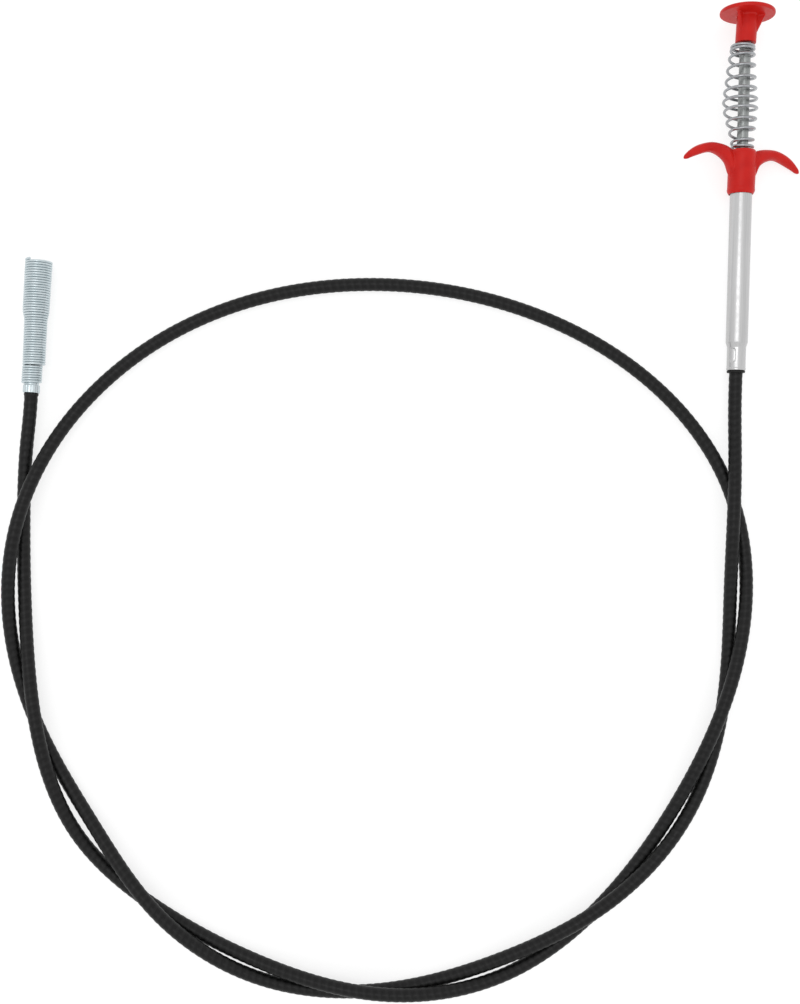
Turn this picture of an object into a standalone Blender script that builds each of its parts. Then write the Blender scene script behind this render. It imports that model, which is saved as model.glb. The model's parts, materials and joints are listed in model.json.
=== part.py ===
"""Hand-operated drain auger: a thumb plunger in a finger grip pushes a cable through a long hose,
and the cable pushes four sprung claws out of a coil-spring head. It lies on a flat surface.

Metres, +Z up. The origin is under the middle of the handle, on the surface. The handle lies along Y,
button end at +Y, and the hose leaves it at the -Y end, runs round in a loop that is twisted on itself
and ends at the claw head, whose mouth points to +Y as well.
"""

import math

import bmesh
import bpy
import numpy as np
from mathutils import Matrix, Vector

MM = 0.001
ROUND_STEPS = 32
SMALL_STEPS = 20
SHARP_ANGLE = math.radians(35)

# The handle's own frame: local +Z runs along the plunger from the tube's lower end to the button,
# local +X points along the right wing. The button's rim and the tube carry it on the surface.
HANDLE_END = (-1.3 * MM, -80.7 * MM, 4.255 * MM)
HANDLE_LEAN = math.radians(0.8)
HANDLE_PITCH = math.radians(3.0)
HANDLE_ROLL = math.radians(15)

# Stations along the handle, measured from the tube's lower end
TUBE_NECK_TOP = 12 * MM
TUBE_TOP = 91.5 * MM
GRIP_BOTTOM = 79.6 * MM
GRIP_SOCKET_TOP = 91.9 * MM
GRIP_TOP = 99.4 * MM
STEM_BOTTOM = 147.1 * MM
DISC_BOTTOM = 159.7 * MM
ROD_BOTTOM = 50 * MM
ROD_TOP = 154.5 * MM

TUBE_RADIUS = 4.9 * MM
TUBE_WALL = 0.75 * MM
TUBE_NECK_RADIUS = 4.2 * MM
TUBE_NECK_BORE = 3.65 * MM
GRIP_RADIUS = 6.2 * MM
GRIP_TOP_RADIUS = 5.6 * MM
GRIP_GUIDE_BORE = 2.95 * MM
GRIP_SOCKET_BORE = 5.25 * MM
GRIP_BEVEL = 1.3 * MM
ROD_RADIUS = 2.5 * MM
STEM_RADIUS = 4.6 * MM
STEM_BORE = 2.95 * MM
DISC_RADIUS = 12.2 * MM
DISC_THICKNESS = 1.6 * MM
DISC_CROWN = 1.2 * MM
DISC_FLAT_RADIUS = 8.5 * MM
RIB_COUNT = 3
RIB_TURN = math.radians(-31)
RIB_THICKNESS = 1.4 * MM
RIB_REACH = 7.9 * MM
RIB_HEIGHT = 7.5 * MM

# The grip sits slightly crooked on the tube, and the button on the rod: each is turned about the
# vertical through a pivot on the handle's axis, towards the right
GRIP_PIVOT = 89.2 * MM
GRIP_TILT = math.radians(1)
BUTTON_PIVOT = 145 * MM
BUTTON_TILT = math.radians(2.2)

# Wing sections from the grip's axis outwards: reach and height of the upper edge, the same of the
# lower edge, and half depth. Heights count from the grip's top face, and the skew lowers the right.
WING_EDGES = (
    (3.0 * MM, -1.5 * MM, 3.0 * MM, -12.0 * MM, 2.6 * MM),
    (6.2 * MM, 0.2 * MM, 5.9 * MM, -12.4 * MM, 3.0 * MM),
    (8.0 * MM, 1.0 * MM, 7.3 * MM, -8.5 * MM, 3.3 * MM),
    (10.2 * MM, 1.5 * MM, 9.3 * MM, -5.6 * MM, 3.4 * MM),
    (13.0 * MM, 1.8 * MM, 12.2 * MM, -3.7 * MM, 3.3 * MM),
    (16.3 * MM, 1.75 * MM, 15.4 * MM, -2.7 * MM, 3.2 * MM),
    (19.8 * MM, 0.9 * MM, 18.2 * MM, -3.0 * MM, 3.0 * MM),
    (23.2 * MM, -0.5 * MM, 21.2 * MM, -4.1 * MM, 2.6 * MM),
    (26.2 * MM, -2.5 * MM, 24.2 * MM, -5.4 * MM, 2.0 * MM),
    (28.3 * MM, -4.5 * MM, 26.5 * MM, -6.5 * MM, 1.5 * MM),
    (29.3 * MM, -5.9 * MM, 28.0 * MM, -7.15 * MM, 1.0 * MM),
    (29.55 * MM, -6.8 * MM, 29.1 * MM, -7.25 * MM, 0.4 * MM),
)
WING_SKEW = 0.028
WING_SIDES = 14

# Return spring: a double cone of round wire, bowed towards the left
SPRING_WIRE = 0.65 * MM
SPRING_TOP = 145.9 * MM
SPRING_BOTTOM = 100.4 * MM
SPRING_END_RADIUS = 4.8 * MM
SPRING_WAIST_RADIUS = 7.3 * MM
SPRING_WAIST = 0.55
SPRING_CLOSED_TOP_TURNS = 1.1
SPRING_OPEN_TURNS = 9
SPRING_CLOSED_END_TURNS = 0.8
SPRING_CLOSED_DROP = 1.5 * MM
SPRING_STEPS_PER_TURN = 14
SPRING_TOP_SHIFT = 1.1 * MM
SPRING_BOW = 1.1 * MM

CABLE_RADIUS = 1.0 * MM
CRIMP_RADIUS = 3.2 * MM
CRIMP_TOP = 56 * MM
CRIMP_BOTTOM = 44 * MM
HANDLE_CABLE_TOP = 49.5 * MM
HANDLE_CABLE_BOTTOM = 39.6 * MM

HOSE_DIAMETER = 6.1 * MM
HOSE_SAMPLES = 82
HOSE_START = 6.6 * MM
LINER_RADIUS = 1.8 * MM
LINER_BORE = 1.3 * MM
HANDLE_FERRULE_BOTTOM = 3.3 * MM
HANDLE_FERRULE_TOP = 14 * MM
BUSH_BOTTOM = -1.2 * MM
BUSH_FLANGE_TOP = -0.2 * MM
BUSH_TOP = 3.0 * MM
BUSH_FLANGE_RADIUS = 4.1 * MM
BUSH_SPIGOT_RADIUS = 3.5 * MM
BUSH_BORE = 3.25 * MM
FERRULE_SKIRT_RADIUS = 3.52 * MM
FERRULE_SKIRT_BORE = 3.24 * MM
FERRULE_LINER_BORE = 2.1 * MM

# The claw head's own frame: local +Z runs from the ferrule's lower edge to the mouth
HEAD_START = (-324.0 * MM, -91.2 * MM, 6.2 * MM)
HEAD_LEAN = math.radians(3.4)
HEAD_LENGTH = 61.1 * MM
HEAD_FERRULE_RADIUS = 3.75 * MM
HEAD_FERRULE_SKIRT_TOP = 3.5 * MM
HEAD_FERRULE_NECK_RADIUS = 3.2 * MM
HEAD_FERRULE_TOP = 12.5 * MM
HOSE_END = 2.9 * MM
SLEEVE_WIRE = 1.12 * MM
SLEEVE_BOTTOM = 3.75 * MM
SLEEVE_SMALL_RADIUS = 4.55 * MM
SLEEVE_SMALL_TOP = 11.8 * MM
SLEEVE_NARROW_RADIUS = 5.1 * MM
SLEEVE_NARROW_TOP = 33.5 * MM
SLEEVE_WIDE_RADIUS = 6.12 * MM
SLEEVE_WIDE_BOTTOM = 37.2 * MM
HUB_BOTTOM = 26.2 * MM
HUB_TOP = 32.6 * MM
HUB_FLOOR = 30.8 * MM
HUB_RADIUS = 2.6 * MM
HUB_CUP_RADIUS = 2.1 * MM
HEAD_CABLE_TOP = 30 * MM
HEAD_CABLE_BOTTOM = 4.0 * MM
CLAW_COUNT = 4
CLAW_WIRE = 0.45 * MM
CLAW_HINGE = 32.2 * MM
CLAW_HINGE_RADIUS = 1.2 * MM
CLAW_ROOT = -1.0 * MM
CLAW_LEG = 24 * MM
CLAW_FLARE = 1.2 * MM
CLAW_LEG_STEPS = 6
CLAW_HOOK_RADIUS = 1.3 * MM
CLAW_HOOK_ANGLE = math.radians(100)
CLAW_HOOK_STEPS = 6

# The hose's route along its centreline, from inside the tube's neck to inside the claw head's ferrule.
# Its two halves are twisted together, so it passes over and under itself by turns.
HOSE_ROUTE = (
    (-0.0012, -0.0741, 0.0046),
    (-0.0014, -0.0849, 0.0041),
    (-0.0016, -0.0974, 0.0037),
    (-0.0022, -0.1154, 0.0060),
    (-0.0035, -0.1363, 0.0099),
    (-0.0043, -0.1788, 0.0064),
    (-0.0059, -0.2265, 0.0031),
    (-0.0218, -0.2797, 0.0064),
    (-0.0595, -0.3221, 0.0098),
    (-0.1085, -0.3496, 0.0064),
    (-0.1626, -0.3652, 0.0031),
    (-0.2192, -0.3588, 0.0064),
    (-0.2663, -0.3272, 0.0100),
    (-0.2960, -0.2880, 0.0062),
    (-0.3192, -0.2498, 0.0031),
    (-0.3331, -0.2019, 0.0064),
    (-0.3281, -0.1464, 0.0099),
    (-0.3127, -0.1117, 0.0056),
    (-0.2762, -0.0737, 0.0031),
    (-0.2242, -0.0487, 0.0031),
    (-0.1683, -0.0411, 0.0031),
    (-0.1124, -0.0486, 0.0031),
    (-0.0540, -0.0753, 0.0031),
    (-0.0188, -0.1089, 0.0031),
    (-0.0035, -0.1370, 0.0031),
    (0.0028, -0.1778, 0.0064),
    (-0.0057, -0.2258, 0.0098),
    (-0.0277, -0.2766, 0.0064),
    (-0.0598, -0.3227, 0.0031),
    (-0.1059, -0.3562, 0.0064),
    (-0.1624, -0.3648, 0.0098),
    (-0.2171, -0.3523, 0.0064),
    (-0.2665, -0.3279, 0.0031),
    (-0.3028, -0.2928, 0.0066),
    (-0.3193, -0.2491, 0.0100),
    (-0.3261, -0.2019, 0.0064),
    (-0.3284, -0.1471, 0.0031),
    (-0.3265, -0.1144, 0.0046),
    (-0.3245, -0.0994, 0.0061),
    (-0.3238, -0.0883, 0.0062),
)

ORIGIN = (0, 0, 0)
RED = (0.62, 0.03, 0.03)
BLACK = (0.015, 0.015, 0.016)
STEEL = (0.55, 0.56, 0.57)
ALUMINIUM = (0.72, 0.72, 0.73)
ZINC = (0.56, 0.62, 0.66)


def clear_scene():
    for obj in list(bpy.data.objects):
        bpy.data.objects.remove(obj, do_unlink=True)


def material(name, colour, roughness, metallic=0.0):
    made = bpy.data.materials.new(name)
    made.use_nodes = True
    shader = made.node_tree.nodes["Principled BSDF"]
    shader.inputs["Base Color"].default_value = (*colour, 1)
    shader.inputs["Roughness"].default_value = roughness
    shader.inputs["Metallic"].default_value = metallic
    return made


def frame_empty(name, place, lean, pitch, roll):
    """An empty whose local +Z lies along +Y of the world, leaned towards +X, pitched up and rolled."""
    empty = bpy.data.objects.new(name, None)
    bpy.context.scene.collection.objects.link(empty)
    turn = Matrix.Rotation(-lean, 4, "Z") @ Matrix.Rotation(pitch - math.pi / 2, 4, "X")
    empty.matrix_world = Matrix.Translation(place) @ turn @ Matrix.Rotation(roll, 4, "Z")
    empty.empty_display_size = 0.01
    return empty


def crooked_frame(name, parent, pivot, tilt):
    """An empty in the handle's frame, turned by tilt towards the right about the vertical at pivot."""
    empty = bpy.data.objects.new(name, None)
    bpy.context.scene.collection.objects.link(empty)
    empty.parent = parent
    vertical = Vector((-math.sin(HANDLE_ROLL), -math.cos(HANDLE_ROLL), 0))
    shift = Matrix.Translation((0, 0, pivot))
    empty.matrix_local = shift @ Matrix.Rotation(-tilt, 4, vertical) @ shift.inverted()
    empty.empty_display_size = 0.01
    return empty


def add_object(name, data, parent, surface, location=ORIGIN):
    obj = bpy.data.objects.new(name, data)
    bpy.context.scene.collection.objects.link(obj)
    obj.parent = parent
    obj.location = location
    if surface:
        data.materials.append(surface)
    return obj


def mesh_object(name, bm, parent, surface, location=ORIGIN):
    """Turns the bmesh into a smooth-shaded object with its faces pointing out."""
    bmesh.ops.recalc_face_normals(bm, faces=bm.faces[:])
    mesh = bpy.data.meshes.new(name)
    bm.to_mesh(mesh)
    bm.free()
    mesh.shade_smooth()
    mesh.set_sharp_from_angle(angle=SHARP_ANGLE)
    return add_object(name, mesh, parent, surface, location)


def turned(name, profile, parent, surface, steps=ROUND_STEPS, closed=False):
    """A turned piece about local Z. profile lists (radius, height); a closed one goes round a bore."""
    bm = bmesh.new()
    points = [bm.verts.new((radius, 0, height)) for radius, height in profile]
    pairs = list(zip(points, points[1:]))
    if closed:
        pairs.append((points[-1], points[0]))
    edges = [bm.edges.new(pair) for pair in pairs]
    bmesh.ops.spin(
        bm,
        geom=points + edges,
        cent=ORIGIN,
        axis=(0, 0, 1),
        angle=2 * math.pi,
        steps=steps,
        use_merge=True,
    )
    bmesh.ops.remove_doubles(bm, verts=bm.verts[:], dist=1e-7)
    return mesh_object(name, bm, parent, surface)


def loft(name, rings, parent, surface):
    """A closed body through rings of points, with a flat face on each end ring."""
    bm = bmesh.new()
    rows = [[bm.verts.new(point) for point in ring] for ring in rings]
    for low, high in zip(rows, rows[1:]):
        for i in range(len(low)):
            k = (i + 1) % len(low)
            bm.faces.new((low[i], low[k], high[k], high[i]))
    bm.faces.new(rows[0])
    bm.faces.new(rows[-1])
    return mesh_object(name, bm, parent, surface)


def boolean(obj, tool, operation):
    """Joins or cuts obj with tool, which becomes a helper that isn't rendered."""
    step = obj.modifiers.new(f"{operation.lower()} {tool.name}", "BOOLEAN")
    step.object = tool
    step.operation = operation
    tool.hide_render = True
    tool.display_type = "WIRE"


def wire(name, points, radius, parent, surface, resolution=1):
    """A round wire through the points, as a bevelled poly curve with closed ends."""
    data = bpy.data.curves.new(name, "CURVE")
    data.dimensions = "3D"
    data.bevel_depth = radius
    data.bevel_resolution = resolution
    data.use_fill_caps = True
    spline = data.splines.new("POLY")
    spline.points.add(len(points) - 1)
    for target, point in zip(spline.points, points):
        target.co = (*point, 1)
    spline.use_smooth = True
    return add_object(name, data, parent, surface)


def smooth_route(points, samples):
    """Points at equal steps along the natural cubic spline through the route's points."""
    route = np.array(points)
    count = len(route)
    knots = np.concatenate([[0], np.cumsum(np.linalg.norm(np.diff(route, axis=0), axis=1))])
    gap = np.diff(knots)
    matrix = np.eye(count)
    right = np.zeros_like(route)
    for i in range(1, count - 1):
        matrix[i, i - 1 : i + 2] = (gap[i - 1], 2 * (gap[i - 1] + gap[i]), gap[i])
        slope_change = (route[i + 1] - route[i]) / gap[i] - (route[i] - route[i - 1]) / gap[i - 1]
        right[i] = 6 * slope_change
    bend = np.linalg.solve(matrix, right)

    def at(place):
        i = np.clip(np.searchsorted(knots, place, side="right") - 1, 0, count - 2)
        after = ((knots[i + 1] - place) / gap[i])[:, None]
        before = 1 - after
        square = (gap[i] ** 2)[:, None] / 6
        straight = after * route[i] + before * route[i + 1]
        return straight + ((after**3 - after) * bend[i] + (before**3 - before) * bend[i + 1]) * square

    fine = at(np.linspace(0, knots[-1], 20 * samples))
    along = np.concatenate([[0], np.cumsum(np.linalg.norm(np.diff(fine, axis=0), axis=1))])
    even = np.linspace(0, along[-1], samples)
    return np.stack([np.interp(even, along, fine[:, axis]) for axis in range(3)], axis=1)


def button_ribs(parent):
    """Gussets between the stem and the disc's underside, evenly round the stem."""
    ribs = []
    half = RIB_THICKNESS / 2
    inner = STEM_RADIUS - 0.6 * MM
    outline = (
        (inner, DISC_BOTTOM - RIB_HEIGHT),
        (STEM_RADIUS, DISC_BOTTOM - RIB_HEIGHT),
        (RIB_REACH, DISC_BOTTOM),
        (RIB_REACH, DISC_BOTTOM + 0.5 * MM),
        (inner, DISC_BOTTOM + 0.5 * MM),
    )
    for number in range(RIB_COUNT):
        turn = Matrix.Rotation(RIB_TURN + math.tau * number / RIB_COUNT, 3, "Z")
        rings = [[turn @ Vector((r, y, z)) for r, z in outline] for y in (-half, half)]
        ribs.append(loft(f"rib_{number + 1}_cutter", rings, parent, None))
    return ribs


def make_thumb_button(parent, surface):
    """Mushroom button: a thin crowned disc on a stem with a blind bore for the rod."""
    bore_top = ROD_TOP + 0.5 * MM
    disc_top = DISC_BOTTOM + DISC_THICKNESS
    edge = 0.4 * MM
    profile = (
        (0, bore_top),
        (STEM_BORE, bore_top),
        (STEM_BORE, STEM_BOTTOM),
        (STEM_RADIUS, STEM_BOTTOM),
        (STEM_RADIUS, DISC_BOTTOM - 1 * MM),
        (STEM_RADIUS + 1 * MM, DISC_BOTTOM),
        (DISC_RADIUS - edge, DISC_BOTTOM),
        (DISC_RADIUS, DISC_BOTTOM + edge),
        (DISC_RADIUS, disc_top - edge),
        (DISC_RADIUS - edge, disc_top),
        (DISC_FLAT_RADIUS, disc_top + DISC_CROWN),
        (0, disc_top + DISC_CROWN),
    )
    button = turned("thumb_button", profile, parent, surface)
    for rib in button_ribs(parent):
        boolean(button, rib, "UNION")


def make_plunger_rod(handle, surface):
    edge = 0.4 * MM
    profile = (
        (0, ROD_BOTTOM),
        (ROD_RADIUS, ROD_BOTTOM),
        (ROD_RADIUS, ROD_TOP - edge),
        (ROD_RADIUS - edge, ROD_TOP),
        (0, ROD_TOP),
    )
    turned("plunger_rod", profile, handle, surface, SMALL_STEPS)


def spring_point(turns):
    """Centre of the spring's wire after so many turns from its top end, in the handle's frame."""
    open_start = SPRING_CLOSED_TOP_TURNS
    open_end = open_start + SPRING_OPEN_TURNS
    end = open_end + SPRING_CLOSED_END_TURNS
    heights = (
        SPRING_TOP,
        SPRING_TOP - SPRING_CLOSED_DROP,
        SPRING_BOTTOM + SPRING_CLOSED_DROP,
        SPRING_BOTTOM,
    )
    height = float(np.interp(turns, (0, open_start, open_end, end), heights))
    share = (SPRING_TOP - height) / (SPRING_TOP - SPRING_BOTTOM)
    run = SPRING_WAIST if share < SPRING_WAIST else 1 - SPRING_WAIST
    away = math.hypot((share - SPRING_WAIST) / run, 0.12) - 0.12
    radius = SPRING_WAIST_RADIUS - (SPRING_WAIST_RADIUS - SPRING_END_RADIUS) * away
    shift = SPRING_TOP_SHIFT * (1 - share) + SPRING_BOW * math.sin(math.pi * share)
    angle = math.tau * (turns - open_start)
    left = shift + radius * math.cos(angle)
    down = radius * math.sin(angle)
    across = -left * math.cos(HANDLE_ROLL) + down * math.sin(HANDLE_ROLL)
    depth = left * math.sin(HANDLE_ROLL) + down * math.cos(HANDLE_ROLL)
    return (across, depth, height)


def make_return_spring(handle, surface):
    turns = SPRING_CLOSED_TOP_TURNS + SPRING_OPEN_TURNS + SPRING_CLOSED_END_TURNS
    count = round(turns * SPRING_STEPS_PER_TURN)
    points = [spring_point(turns * i / count) for i in range(count + 1)]
    wire("return_spring", points, SPRING_WIRE, handle, surface)


def wing(side, parent):
    """One curved finger wing: a horn of oval sections from inside the body to its round tip."""
    rings = []
    for upper_reach, upper_height, lower_reach, lower_height, half_depth in WING_EDGES:
        upper = np.array((upper_reach, upper_height))
        lower = np.array((lower_reach, lower_height))
        ring = []
        for step in range(WING_SIDES):
            angle = math.tau * step / WING_SIDES
            reach, height = (upper + lower) / 2 + (upper - lower) / 2 * math.sin(angle)
            across = side * reach
            depth = half_depth * math.cos(angle)
            ring.append((across, depth, GRIP_TOP + height - across * WING_SKEW))
        rings.append(ring)
    return loft(f"wing_{'right' if side > 0 else 'left'}_blank", rings, parent, None)


def make_finger_grip(parent, surface):
    """Body with two wings, a socket for the tube below and a guide bore for the rod above."""
    shoulder = GRIP_RADIUS - GRIP_TOP_RADIUS
    profile = (
        (0, GRIP_BOTTOM),
        (GRIP_RADIUS - GRIP_BEVEL / 2, GRIP_BOTTOM),
        (GRIP_RADIUS, GRIP_BOTTOM + GRIP_BEVEL),
        (GRIP_RADIUS, GRIP_TOP - 2 * shoulder),
        (GRIP_TOP_RADIUS, GRIP_TOP),
        (0, GRIP_TOP),
    )
    grip = turned("finger_grip", profile, parent, surface)
    for side in (-1, 1):
        boolean(grip, wing(side, parent), "UNION")
    bore_profile = (
        (0, GRIP_BOTTOM - 1 * MM),
        (GRIP_SOCKET_BORE, GRIP_BOTTOM - 1 * MM),
        (GRIP_SOCKET_BORE, GRIP_SOCKET_TOP),
        (GRIP_GUIDE_BORE, GRIP_SOCKET_TOP),
        (GRIP_GUIDE_BORE, GRIP_TOP + 1 * MM),
        (0, GRIP_TOP + 1 * MM),
    )
    boolean(grip, turned("grip_bore_cutter", bore_profile, parent, None), "DIFFERENCE")


def make_handle_tube(handle, surface):
    """Drawn tube with a neck crimped on the hose's ferrule."""
    bore = TUBE_RADIUS - TUBE_WALL
    profile = (
        (TUBE_NECK_BORE, 0),
        (TUBE_NECK_RADIUS, 0),
        (TUBE_NECK_RADIUS, TUBE_NECK_TOP - 1 * MM),
        (TUBE_RADIUS, TUBE_NECK_TOP),
        (TUBE_RADIUS, TUBE_TOP),
        (bore, TUBE_TOP),
        (bore, TUBE_NECK_TOP + 2.4 * MM),
        (TUBE_NECK_BORE, TUBE_NECK_TOP + 2 * MM),
    )
    turned("handle_tube", profile, handle, surface, closed=True)


def make_cable_crimp(handle, surface):
    """Sleeve that joins the rod's lower end to the drive cable."""
    rod_bore = ROD_RADIUS + 0.25 * MM
    cable_bore = CABLE_RADIUS + 0.25 * MM
    step = ROD_BOTTOM - 0.2 * MM
    profile = (
        (cable_bore, CRIMP_BOTTOM),
        (CRIMP_RADIUS, CRIMP_BOTTOM),
        (CRIMP_RADIUS, CRIMP_TOP),
        (rod_bore, CRIMP_TOP),
        (rod_bore, step),
        (cable_bore, step),
    )
    turned("cable_crimp", profile, handle, surface, SMALL_STEPS, closed=True)


def make_cable_end(name, bottom, top, frame, surface):
    profile = ((0, bottom), (CABLE_RADIUS, bottom), (CABLE_RADIUS, top), (0, top))
    turned(name, profile, frame, surface, SMALL_STEPS)


def make_liner_end(name, bottom, top, frame, surface):
    """Bare end of the steel liner that runs inside the hose's sheath."""
    profile = (
        (LINER_BORE, bottom),
        (LINER_RADIUS, bottom),
        (LINER_RADIUS, top),
        (LINER_BORE, top),
    )
    turned(name, profile, frame, surface, SMALL_STEPS, closed=True)


def make_hose_ferrule(handle, surface):
    step = HOSE_START + 0.3 * MM
    profile = (
        (FERRULE_SKIRT_BORE, HANDLE_FERRULE_BOTTOM),
        (FERRULE_SKIRT_RADIUS, HANDLE_FERRULE_BOTTOM),
        (FERRULE_SKIRT_RADIUS, HANDLE_FERRULE_TOP),
        (FERRULE_LINER_BORE, HANDLE_FERRULE_TOP),
        (FERRULE_LINER_BORE, step),
        (FERRULE_SKIRT_BORE, step),
    )
    turned("hose_ferrule", profile, handle, surface, closed=True)


def make_hose_bush(handle, surface):
    """Flanged bush that keeps the hose off the tube's crimped edge."""
    profile = (
        (BUSH_BORE, BUSH_BOTTOM),
        (BUSH_FLANGE_RADIUS, BUSH_BOTTOM),
        (BUSH_FLANGE_RADIUS, BUSH_FLANGE_TOP),
        (BUSH_SPIGOT_RADIUS, BUSH_FLANGE_TOP),
        (BUSH_SPIGOT_RADIUS, BUSH_TOP),
        (BUSH_BORE, BUSH_TOP),
    )
    turned("hose_bush", profile, handle, surface, closed=True)


def make_tip_ferrule(head, surface):
    """Ferrule on the hose's far end; the claw sleeve's small turns grip its neck."""
    step = HOSE_END + 0.2 * MM
    profile = (
        (FERRULE_SKIRT_BORE, 0),
        (HEAD_FERRULE_RADIUS, 0),
        (HEAD_FERRULE_RADIUS, HEAD_FERRULE_SKIRT_TOP),
        (HEAD_FERRULE_NECK_RADIUS, HEAD_FERRULE_SKIRT_TOP),
        (HEAD_FERRULE_NECK_RADIUS, HEAD_FERRULE_TOP),
        (FERRULE_LINER_BORE, HEAD_FERRULE_TOP),
        (FERRULE_LINER_BORE, step),
        (FERRULE_SKIRT_BORE, step),
    )
    turned("tip_ferrule", profile, head, surface, closed=True)


def make_claw_sleeve(head, surface):
    """Plain outline of the close-wound coil: small turns, narrow turns, then a wide mouth."""
    outline = (
        (SLEEVE_SMALL_RADIUS, SLEEVE_BOTTOM),
        (SLEEVE_SMALL_RADIUS, SLEEVE_SMALL_TOP),
        (SLEEVE_NARROW_RADIUS, SLEEVE_SMALL_TOP + 0.3 * MM),
        (SLEEVE_NARROW_RADIUS, SLEEVE_NARROW_TOP),
        (SLEEVE_WIDE_RADIUS, SLEEVE_WIDE_BOTTOM),
        (SLEEVE_WIDE_RADIUS, HEAD_LENGTH),
    )
    inside = [(radius - SLEEVE_WIRE, height) for radius, height in reversed(outline)]
    turned("claw_sleeve", (*outline, *inside), head, surface, closed=True)


def make_claw_hub(head, surface):
    """Crimped cup on the cable's end that holds the claws' roots."""
    cable_bore = CABLE_RADIUS + 0.25 * MM
    blind = HEAD_CABLE_TOP + 0.2 * MM
    profile = (
        (0, blind),
        (cable_bore, blind),
        (cable_bore, HUB_BOTTOM),
        (HUB_RADIUS, HUB_BOTTOM),
        (HUB_RADIUS, HUB_TOP),
        (HUB_CUP_RADIUS, HUB_TOP),
        (HUB_CUP_RADIUS, HUB_FLOOR),
        (0, HUB_FLOOR),
    )
    turned("claw_hub", profile, head, surface, SMALL_STEPS)


def claw_points():
    """One claw's wire in its own plane, from its hinge, as (outward, along) pairs.

    The leg flares out towards its end, so that it clears the mouth while it swings open on the way out.
    """
    points = [(0, CLAW_ROOT)]
    for step in range(CLAW_LEG_STEPS + 1):
        share = step / CLAW_LEG_STEPS
        points.append((CLAW_FLARE * share**3, CLAW_LEG * share))
    for step in range(1, CLAW_HOOK_STEPS + 1):
        angle = CLAW_HOOK_ANGLE * step / CLAW_HOOK_STEPS
        outward = CLAW_FLARE - CLAW_HOOK_RADIUS * (1 - math.cos(angle))
        points.append((outward, CLAW_LEG + CLAW_HOOK_RADIUS * math.sin(angle)))
    return points


def make_claws(head, surface):
    """Each claw hangs on an empty at its hinge, in the rim of the hub's cup."""
    for number in range(CLAW_COUNT):
        angle = math.tau * number / CLAW_COUNT + math.radians(45)
        pivot = bpy.data.objects.new(f"claw_{number + 1}_pivot", None)
        bpy.context.scene.collection.objects.link(pivot)
        pivot.parent = head
        pivot.rotation_euler = (0, 0, angle)
        pivot.location = (
            CLAW_HINGE_RADIUS * math.cos(angle),
            CLAW_HINGE_RADIUS * math.sin(angle),
            CLAW_HINGE,
        )
        points = [(outward, 0, along) for outward, along in claw_points()]
        wire(f"claw_{number + 1}", points, CLAW_WIRE, pivot, surface, resolution=2)


def make_hose(surface):
    points = smooth_route(HOSE_ROUTE, HOSE_SAMPLES)
    points[:, 2] = np.maximum(points[:, 2], HOSE_DIAMETER / 2 + 0.03 * MM)
    wire("hose", points, HOSE_DIAMETER / 2, None, surface, resolution=3)


def build():
    clear_scene()
    red = material("red_plastic", RED, 0.3)
    black = material("black_sheath", BLACK, 0.4)
    steel = material("steel", STEEL, 0.28, 1.0)
    aluminium = material("aluminium", ALUMINIUM, 0.35, 1.0)
    zinc = material("zinc_plate", ZINC, 0.3, 1.0)
    handle = frame_empty("handle_frame", HANDLE_END, HANDLE_LEAN, HANDLE_PITCH, HANDLE_ROLL)
    head = frame_empty("head_frame", HEAD_START, HEAD_LEAN, 0, 0)
    button_frame = crooked_frame("button_frame", handle, BUTTON_PIVOT, BUTTON_TILT)
    grip_frame = crooked_frame("grip_frame", handle, GRIP_PIVOT, GRIP_TILT)
    make_thumb_button(button_frame, red)
    make_plunger_rod(handle, steel)
    make_return_spring(handle, steel)
    make_finger_grip(grip_frame, red)
    make_handle_tube(handle, aluminium)
    make_cable_crimp(handle, steel)
    make_cable_end("cable_handle_end", HANDLE_CABLE_BOTTOM, HANDLE_CABLE_TOP, handle, steel)
    make_hose_ferrule(handle, steel)
    make_hose_bush(handle, black)
    make_liner_end("liner_handle_end", HOSE_START + 0.35 * MM, HANDLE_FERRULE_TOP - 0.5 * MM, handle, steel)
    make_hose(black)
    make_liner_end("liner_tip_end", HOSE_END + 0.35 * MM, HEAD_FERRULE_TOP - 0.5 * MM, head, steel)
    make_tip_ferrule(head, zinc)
    make_claw_sleeve(head, zinc)
    make_cable_end("cable_tip_end", HEAD_CABLE_BOTTOM, HEAD_CABLE_TOP, head, steel)
    make_claw_hub(head, steel)
    make_claws(head, steel)


build()
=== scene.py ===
"""The looks of the drain auger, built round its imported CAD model. Metres, +Z up."""

import json
import math

import bpy
import numpy as np
from mathutils import Matrix, Vector


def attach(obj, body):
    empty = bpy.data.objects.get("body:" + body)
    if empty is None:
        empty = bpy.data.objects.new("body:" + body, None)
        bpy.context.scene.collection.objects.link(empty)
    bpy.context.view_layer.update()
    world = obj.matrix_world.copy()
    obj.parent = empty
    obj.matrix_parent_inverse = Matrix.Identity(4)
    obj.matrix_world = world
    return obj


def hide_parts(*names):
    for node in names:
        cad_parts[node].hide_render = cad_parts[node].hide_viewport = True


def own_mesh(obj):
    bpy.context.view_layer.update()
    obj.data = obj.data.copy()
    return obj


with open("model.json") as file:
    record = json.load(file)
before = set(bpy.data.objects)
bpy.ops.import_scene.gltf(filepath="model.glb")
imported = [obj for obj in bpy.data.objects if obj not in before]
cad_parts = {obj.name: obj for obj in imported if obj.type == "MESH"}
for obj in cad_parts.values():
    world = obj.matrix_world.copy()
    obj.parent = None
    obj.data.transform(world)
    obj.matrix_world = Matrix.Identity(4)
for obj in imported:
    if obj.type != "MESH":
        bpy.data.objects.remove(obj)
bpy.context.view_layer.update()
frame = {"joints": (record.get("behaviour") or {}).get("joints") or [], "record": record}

MM = 0.001
UP = Vector((0, 0, 1))

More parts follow.
